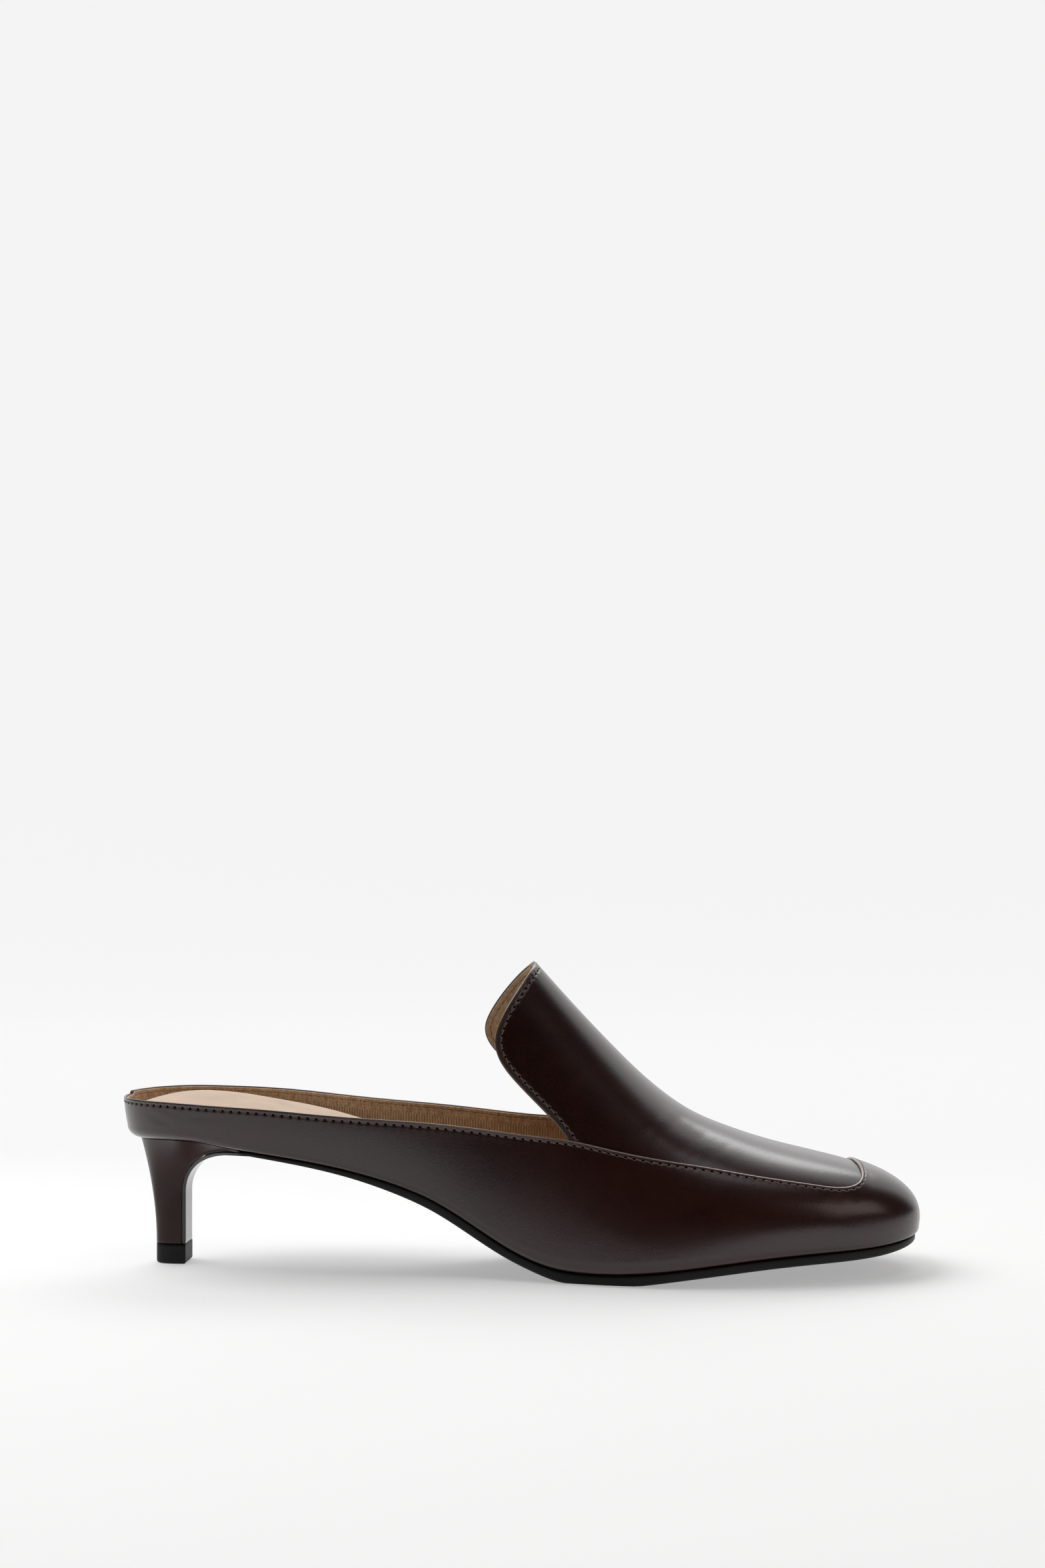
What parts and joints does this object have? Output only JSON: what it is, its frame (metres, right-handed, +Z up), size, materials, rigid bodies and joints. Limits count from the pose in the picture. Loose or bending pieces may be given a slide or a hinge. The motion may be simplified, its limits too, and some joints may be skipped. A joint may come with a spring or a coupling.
{
  "type": "heeled loafer",
  "caption": "Backless loafer on a low slim heel: soft square toe, high tongue under a stitched apron seam, low quarter all round, thin sole down the heel breast",
  "frame": {"origin": "on the floor, under the middle of the shoe's box", "axes": "+X from heel to toe, +Y to the inner side of the foot, +Z up"},
  "size_m": [0.2508, 0.082, 0.0952],
  "materials": {
    "brown_leather": "smooth polished dark brown",
    "sock": "napped beige lining",
    "sole_black": "satin black edge, gloss below",
    "heel_cover": "smooth polished dark brown",
    "lift_black": "matte black"
  },
  "bodies": {
    "root": {"upper": "brown_leather", "insole": "sock", "outsole": "sole_black", "heel": "heel_cover", "top_piece": "lift_black"}
  },
  "joints": []
}
